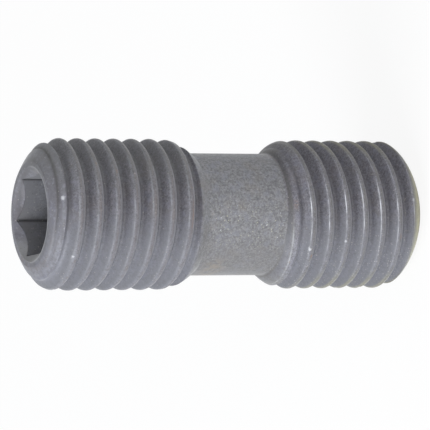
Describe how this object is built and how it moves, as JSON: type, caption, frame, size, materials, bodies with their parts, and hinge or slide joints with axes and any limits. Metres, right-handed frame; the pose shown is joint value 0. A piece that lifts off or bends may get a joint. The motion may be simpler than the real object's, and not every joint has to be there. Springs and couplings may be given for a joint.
{
  "type": "insert screw",
  "caption": "Headless double-ended clamp screw with opposite-hand threads, a plain neck between them and a hex socket in one end.",
  "frame": {"origin": "centre of the flat face at the plain end, on which the screw stands", "axes": "+Z along the screw's axis, from the plain end to the socket end"},
  "size_m": [0.0078, 0.0078, 0.021],
  "materials": {
    "phosphated_steel": "matte dark grey phosphate coating"
  },
  "bodies": {
    "root": {"insert_screw": "phosphated_steel"}
  },
  "joints": []
}
